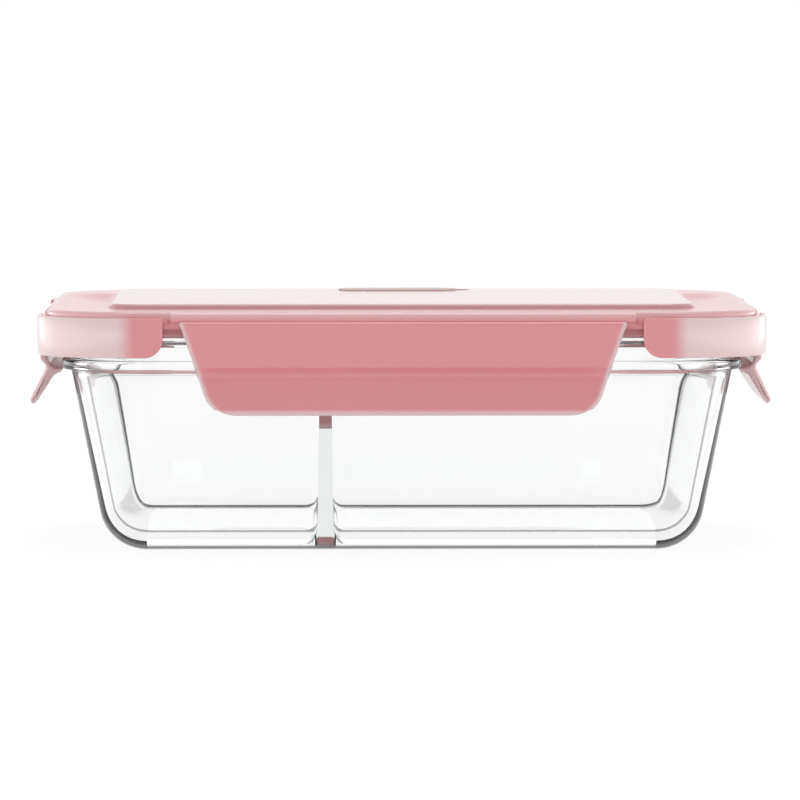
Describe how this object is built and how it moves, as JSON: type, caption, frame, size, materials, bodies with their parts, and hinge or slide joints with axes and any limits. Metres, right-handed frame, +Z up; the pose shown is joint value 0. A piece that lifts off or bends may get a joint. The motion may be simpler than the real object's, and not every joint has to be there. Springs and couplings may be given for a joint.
{
  "type": "bento lunch box",
  "caption": "Rectangular glass lunch box with a moulded divider and a clip-on plastic lid held by flap latches, with silicone seals and a steam vent.",
  "frame": {"origin": "centre of the flat base that the box stands on", "axes": "+X along the long side to the right, +Y to the back, +Z up through the lid; the smaller compartment is on the -X side"},
  "size_m": [0.2206, 0.1696, 0.0728],
  "materials": {
    "glass": "clear pressed borosilicate glass, fire polished",
    "lid_plastic": "pink moulded polypropylene with a polished gloss",
    "panel_plastic": "pink moulded polypropylene, a little paler than the lid, with a polished gloss",
    "silicone": "translucent white food silicone, matt",
    "vent_silicone": "warm grey food silicone, matt"
  },
  "bodies": {
    "container": {"glass_container": "glass"},
    "lid": {"lid_shell": "lid_plastic", "lid_panel": "panel_plastic", "rim_gasket": "silicone", "divider_seal": "silicone", "vent_anchor": "vent_silicone"},
    "front_latch": {"latch_front": "lid_plastic"},
    "back_latch": {"latch_back": "lid_plastic"},
    "left_latch": {"latch_left": "lid_plastic"},
    "right_latch": {"latch_right": "lid_plastic"},
    "vent": {"vent_flap": "vent_silicone"}
  },
  "joints": [
    {"name": "lid_lift", "type": "slide", "parent": "container", "child": "lid", "axis": [0, 0, 1], "range_m": [0, 0.06]},
    {"name": "front_latch_hinge", "type": "hinge", "parent": "lid", "child": "front_latch", "pos_m": [0, -0.0801, 0.067], "axis": [-1, 0, 0], "range_deg": [-6, 115]},
    {"name": "back_latch_hinge", "type": "hinge", "parent": "lid", "child": "back_latch", "pos_m": [0, 0.0801, 0.067], "axis": [1, 0, 0], "range_deg": [-6, 115]},
    {"name": "left_latch_hinge", "type": "hinge", "parent": "lid", "child": "left_latch", "pos_m": [-0.1056, 0, 0.067], "axis": [0, 1, 0], "range_deg": [-6, 115]},
    {"name": "right_latch_hinge", "type": "hinge", "parent": "lid", "child": "right_latch", "pos_m": [0.1056, 0, 0.067], "axis": [0, -1, 0], "range_deg": [-6, 115]},
    {"name": "vent_flap_hinge", "type": "hinge", "parent": "lid", "child": "vent", "pos_m": [-0.01, 0.044, 0.0721], "axis": [0, -1, 0], "range_deg": [0, 90]}
  ]
}
